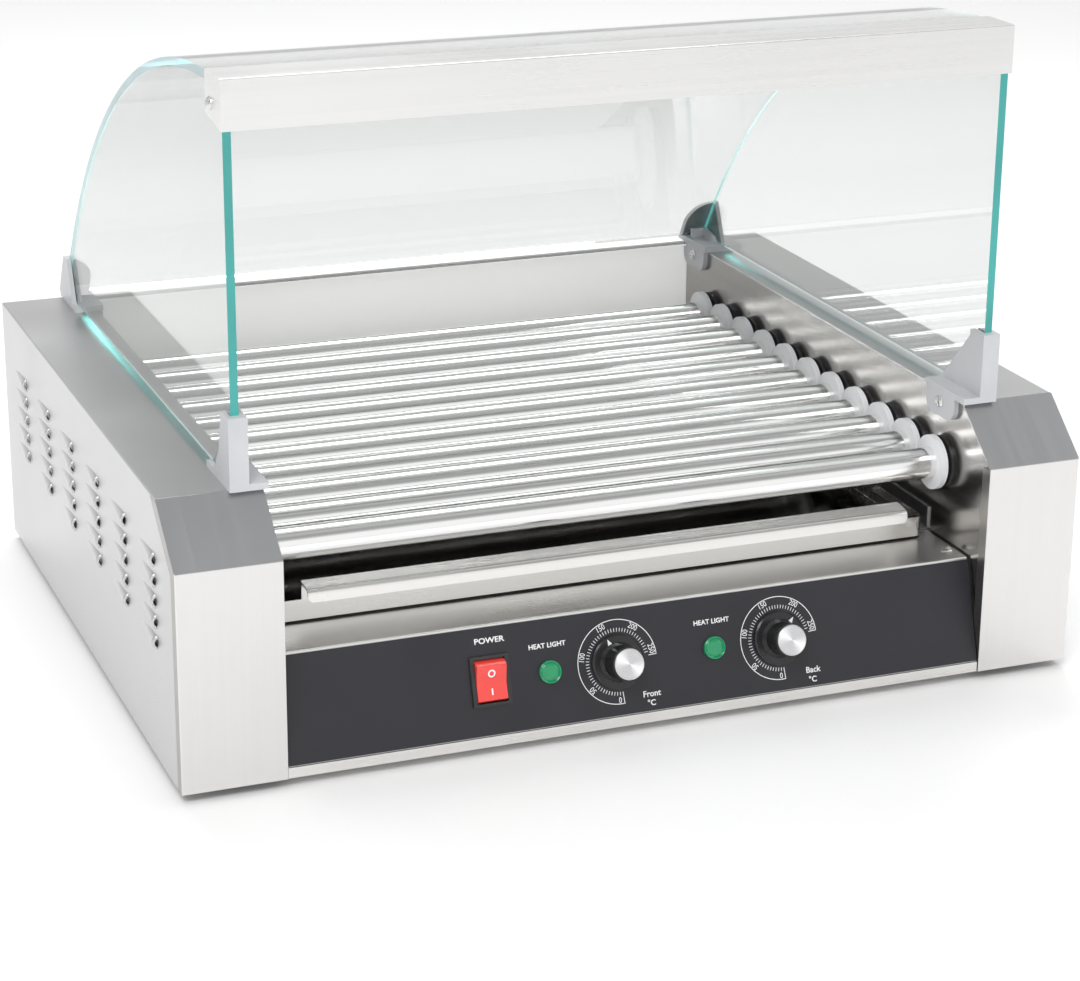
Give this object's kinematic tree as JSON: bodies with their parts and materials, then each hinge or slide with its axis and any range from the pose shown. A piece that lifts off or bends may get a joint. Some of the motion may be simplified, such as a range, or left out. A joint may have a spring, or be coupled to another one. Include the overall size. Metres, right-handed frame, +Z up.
{
  "type": "hot dog roller grill",
  "caption": "Countertop hot dog roller grill: stainless casing, a bed of chain-driven heated rollers, pull-out drip tray, sloping control panel and a bent-glass hood.",
  "frame": {"origin": "on the floor under the feet, half way across the machine and half way from the front of the knobs to the back of the cord gland", "axes": "+X along the rollers, to the right of a person working the machine; +Y to the back; +Z up"},
  "size_m": [0.5864, 0.4866, 0.4093],
  "materials": {
    "stainless": "brushed, satin",
    "polished_stainless": "bright rolled, half mirror",
    "polished_rollers": "polished, mirror bright",
    "plain_steel": "plain, lightly oiled",
    "chain_steel": "dark, oiled",
    "heater_steel": "heat-browned",
    "motor_casting": "painted grey",
    "screw_steel": "bright plated",
    "cap_aluminium": "spun, bright",
    "fascia_black": "satin black",
    "white_polymer": "smooth satin",
    "insulator": "matt",
    "black_plastic": "satin",
    "knob_black": "semi-gloss",
    "switch_red": "translucent gloss",
    "lamp_green": "translucent gloss",
    "clip_grey": "smooth satin",
    "foot_rubber": "matt",
    "hood_glass": "clear, polished, green-tinted at its edges"
  },
  "bodies": {
    "chassis": {"base_pan": "stainless", "feet": "foot_rubber", "right_inner_wall": "polished_stainless", "left_inner_wall": "polished_stainless", "right_front_cover": "stainless", "left_front_cover": "stainless", "right_side_cover": "stainless", "left_side_cover": "stainless", "rear_panel": "stainless", "cord_gland": "black_plastic", "roller_bearings": "black_plastic", "roller_collars": "white_polymer", "heating_elements": "heater_steel", "heater_insulators": "insulator", "heater_retainers": "plain_steel", "gear_motor": "motor_casting", "drive_chain": "chain_steel", "tray_runners": "stainless", "front_housing": "stainless", "control_fascia": "fascia_black", "switch_bezel": "black_plastic", "heat_lamps": "lamp_green", "thermostats": "black_plastic", "curved_glass": "hood_glass", "left_pane": "hood_glass", "right_pane": "hood_glass", "header_rail": "stainless", "front_clips": "clip_grey", "rear_clips": "clip_grey", "fasteners": "screw_steel"},
    "roller_unit_01": {"roller_01": "polished_rollers", "sprocket_01": "plain_steel"},
    "roller_unit_02": {"roller_02": "polished_rollers", "sprocket_02": "plain_steel"},
    "roller_unit_03": {"roller_03": "polished_rollers", "sprocket_03": "plain_steel"},
    "roller_unit_04": {"roller_04": "polished_rollers", "sprocket_04": "plain_steel"},
    "roller_unit_05": {"roller_05": "polished_rollers", "sprocket_05": "plain_steel"},
    "roller_unit_06": {"roller_06": "polished_rollers", "sprocket_06": "plain_steel"},
    "roller_unit_07": {"roller_07": "polished_rollers", "sprocket_07": "plain_steel"},
    "roller_unit_08": {"roller_08": "polished_rollers", "sprocket_08": "plain_steel"},
    "roller_unit_09": {"roller_09": "polished_rollers", "sprocket_09": "plain_steel"},
    "roller_unit_10": {"roller_10": "polished_rollers", "sprocket_10": "plain_steel"},
    "roller_unit_11": {"roller_11": "polished_rollers", "sprocket_11": "plain_steel"},
    "motor_drive": {"motor_sprocket": "plain_steel"},
    "idler": {"idler_sprocket": "plain_steel"},
    "tray": {"drip_tray": "stainless"},
    "front_dial": {"front_knob": "knob_black", "front_knob_cap": "cap_aluminium"},
    "back_dial": {"back_knob": "knob_black", "back_knob_cap": "cap_aluminium"},
    "rocker": {"switch_rocker": "switch_red"}
  },
  "joints": [
    {"name": "roller_01_spin", "type": "hinge", "parent": "chassis", "child": "roller_unit_01", "pos_m": [0, -0.17, 0.127], "axis": [1, 0, 0], "continuous": true},
    {"name": "roller_02_spin", "type": "hinge", "parent": "chassis", "child": "roller_unit_02", "pos_m": [0, -0.1345, 0.127], "axis": [1, 0, 0], "continuous": true},
    {"name": "roller_03_spin", "type": "hinge", "parent": "chassis", "child": "roller_unit_03", "pos_m": [0, -0.099, 0.127], "axis": [1, 0, 0], "continuous": true},
    {"name": "roller_04_spin", "type": "hinge", "parent": "chassis", "child": "roller_unit_04", "pos_m": [0, -0.0635, 0.127], "axis": [1, 0, 0], "continuous": true},
    {"name": "roller_05_spin", "type": "hinge", "parent": "chassis", "child": "roller_unit_05", "pos_m": [0, -0.028, 0.127], "axis": [1, 0, 0], "continuous": true},
    {"name": "roller_06_spin", "type": "hinge", "parent": "chassis", "child": "roller_unit_06", "pos_m": [0, 0.0075, 0.127], "axis": [1, 0, 0], "continuous": true},
    {"name": "roller_07_spin", "type": "hinge", "parent": "chassis", "child": "roller_unit_07", "pos_m": [0, 0.043, 0.127], "axis": [1, 0, 0], "continuous": true},
    {"name": "roller_08_spin", "type": "hinge", "parent": "chassis", "child": "roller_unit_08", "pos_m": [0, 0.0785, 0.127], "axis": [1, 0, 0], "continuous": true},
    {"name": "roller_09_spin", "type": "hinge", "parent": "chassis", "child": "roller_unit_09", "pos_m": [0, 0.114, 0.127], "axis": [1, 0, 0], "continuous": true},
    {"name": "roller_10_spin", "type": "hinge", "parent": "chassis", "child": "roller_unit_10", "pos_m": [0, 0.1495, 0.127], "axis": [1, 0, 0], "continuous": true},
    {"name": "roller_11_spin", "type": "hinge", "parent": "chassis", "child": "roller_unit_11", "pos_m": [0, 0.185, 0.127], "axis": [1, 0, 0], "continuous": true},
    {"name": "motor_sprocket_spin", "type": "hinge", "parent": "chassis", "child": "motor_drive", "pos_m": [0.24, 0.02, 0.061], "axis": [1, 0, 0], "continuous": true},
    {"name": "idler_spin", "type": "hinge", "parent": "chassis", "child": "idler", "pos_m": [0.24, -0.07, 0.086], "axis": [1, 0, 0], "continuous": true},
    {"name": "drip_tray_slide", "type": "slide", "parent": "chassis", "child": "tray", "axis": [0, -1, 0], "range_m": [0, 0.34]},
    {"name": "front_knob_turn", "type": "hinge", "parent": "chassis", "child": "front_dial", "pos_m": [-0.0165, -0.22038, 0.044], "axis": [0, 0.9547, -0.2977], "range_deg": [-164, 106]},
    {"name": "back_knob_turn", "type": "hinge", "parent": "chassis", "child": "back_dial", "pos_m": [0.091, -0.22038, 0.044], "axis": [0, 0.9547, -0.2977], "range_deg": [-226, 44]},
    {"name": "power_rocker_tilt", "type": "hinge", "parent": "chassis", "child": "rocker", "pos_m": [-0.0982, -0.2178, 0.0432], "axis": [1, 0, 0], "range_deg": [-18, 0]}
  ],
  "couplings": [
    {"joint": "roller_02_spin", "follows": "roller_01_spin", "ratio": 1},
    {"joint": "roller_03_spin", "follows": "roller_01_spin", "ratio": 1},
    {"joint": "roller_04_spin", "follows": "roller_01_spin", "ratio": 1},
    {"joint": "roller_05_spin", "follows": "roller_01_spin", "ratio": 1},
    {"joint": "roller_06_spin", "follows": "roller_01_spin", "ratio": 1},
    {"joint": "roller_07_spin", "follows": "roller_01_spin", "ratio": 1},
    {"joint": "roller_08_spin", "follows": "roller_01_spin", "ratio": 1},
    {"joint": "roller_09_spin", "follows": "roller_01_spin", "ratio": 1},
    {"joint": "roller_10_spin", "follows": "roller_01_spin", "ratio": 1},
    {"joint": "roller_11_spin", "follows": "roller_01_spin", "ratio": 1},
    {"joint": "motor_sprocket_spin", "follows": "roller_01_spin", "ratio": 1},
    {"joint": "idler_spin", "follows": "roller_01_spin", "ratio": 1}
  ]
}
